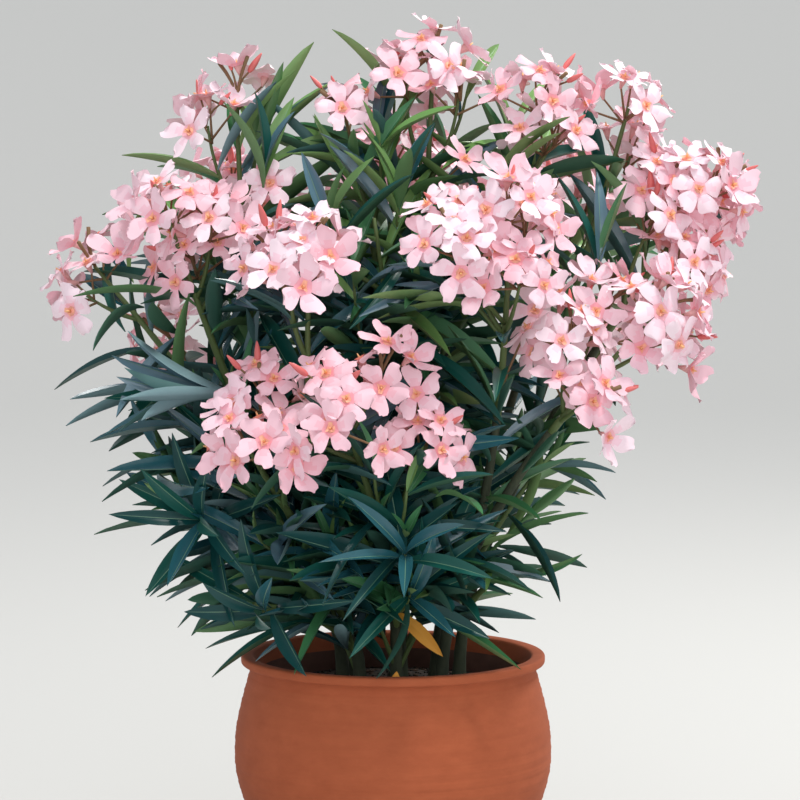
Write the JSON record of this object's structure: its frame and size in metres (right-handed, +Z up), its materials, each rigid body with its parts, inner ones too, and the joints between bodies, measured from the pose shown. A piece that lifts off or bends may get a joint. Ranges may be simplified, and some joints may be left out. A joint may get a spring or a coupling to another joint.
{
  "type": "potted oleander",
  "caption": "Oleander shrub in flower: leaning stems, lance-shaped leaves in whorls and domed heads of five-petalled flowers, in a squat round clay pot filled with compost.",
  "frame": {"origin": "middle of the pot's flat underside, at floor level", "axes": "+Z up out of the pot; the plant's pictured front looks along -Y, and its longer spread runs along X"},
  "size_m": [0.7053, 0.6195, 0.8875],
  "materials": {
    "terracotta": "matte fired clay",
    "compost": "matte, crumbly",
    "bark": "matte",
    "foliage": "satin leaves, matte pale pink petals"
  },
  "bodies": {
    "root": {"pot": "terracotta", "soil": "compost", "stem_left": "bark", "stem_front_left": "bark", "stem_front": "bark", "stem_front_right": "bark", "stem_right": "bark", "stem_middle": "bark", "stem_back_left": "bark", "stem_back": "bark", "stem_back_right": "bark", "bough_far_left": "bark", "bough_top_left": "bark", "bough_left_high": "bark", "bough_front_left_high": "bark", "bough_front_low_left": "bark", "bough_front_low": "bark", "bough_right_low": "bark", "bough_front_high": "bark", "bough_far_right": "bark", "bough_top_right": "bark", "bough_top_middle": "bark", "bough_top_inner_right": "bark", "bough_top_inner_left": "bark", "bough_back_left_high": "bark", "bough_back_left_middle": "bark", "bough_back_middle": "bark", "bough_back_high": "bark", "bough_back_right_high": "bark", "bough_back_right_middle": "bark", "mass_far_left": "foliage", "mass_top_left": "foliage", "mass_left_high": "foliage", "mass_left_sweep": "foliage", "mass_front_left_high": "foliage", "mass_front_low_left": "foliage", "mass_left_rosette": "foliage", "mass_low_left": "foliage", "mass_front_low": "foliage", "mass_front_low_right": "foliage", "mass_front_rosette": "foliage", "mass_right_low": "foliage", "mass_front_high": "foliage", "mass_right_spray": "foliage", "mass_far_right": "foliage", "mass_top_right": "foliage", "mass_low_right": "foliage", "mass_top_middle": "foliage", "mass_top_inner_right": "foliage", "mass_top_inner_left": "foliage", "mass_middle": "foliage", "mass_back_left_high": "foliage", "mass_back_left_middle": "foliage", "mass_back_left_low": "foliage", "mass_back_low": "foliage", "mass_back_middle": "foliage", "mass_back_high": "foliage", "mass_back_right_high": "foliage", "mass_back_right_middle": "foliage", "mass_back_right_low": "foliage"}
  },
  "joints": []
}
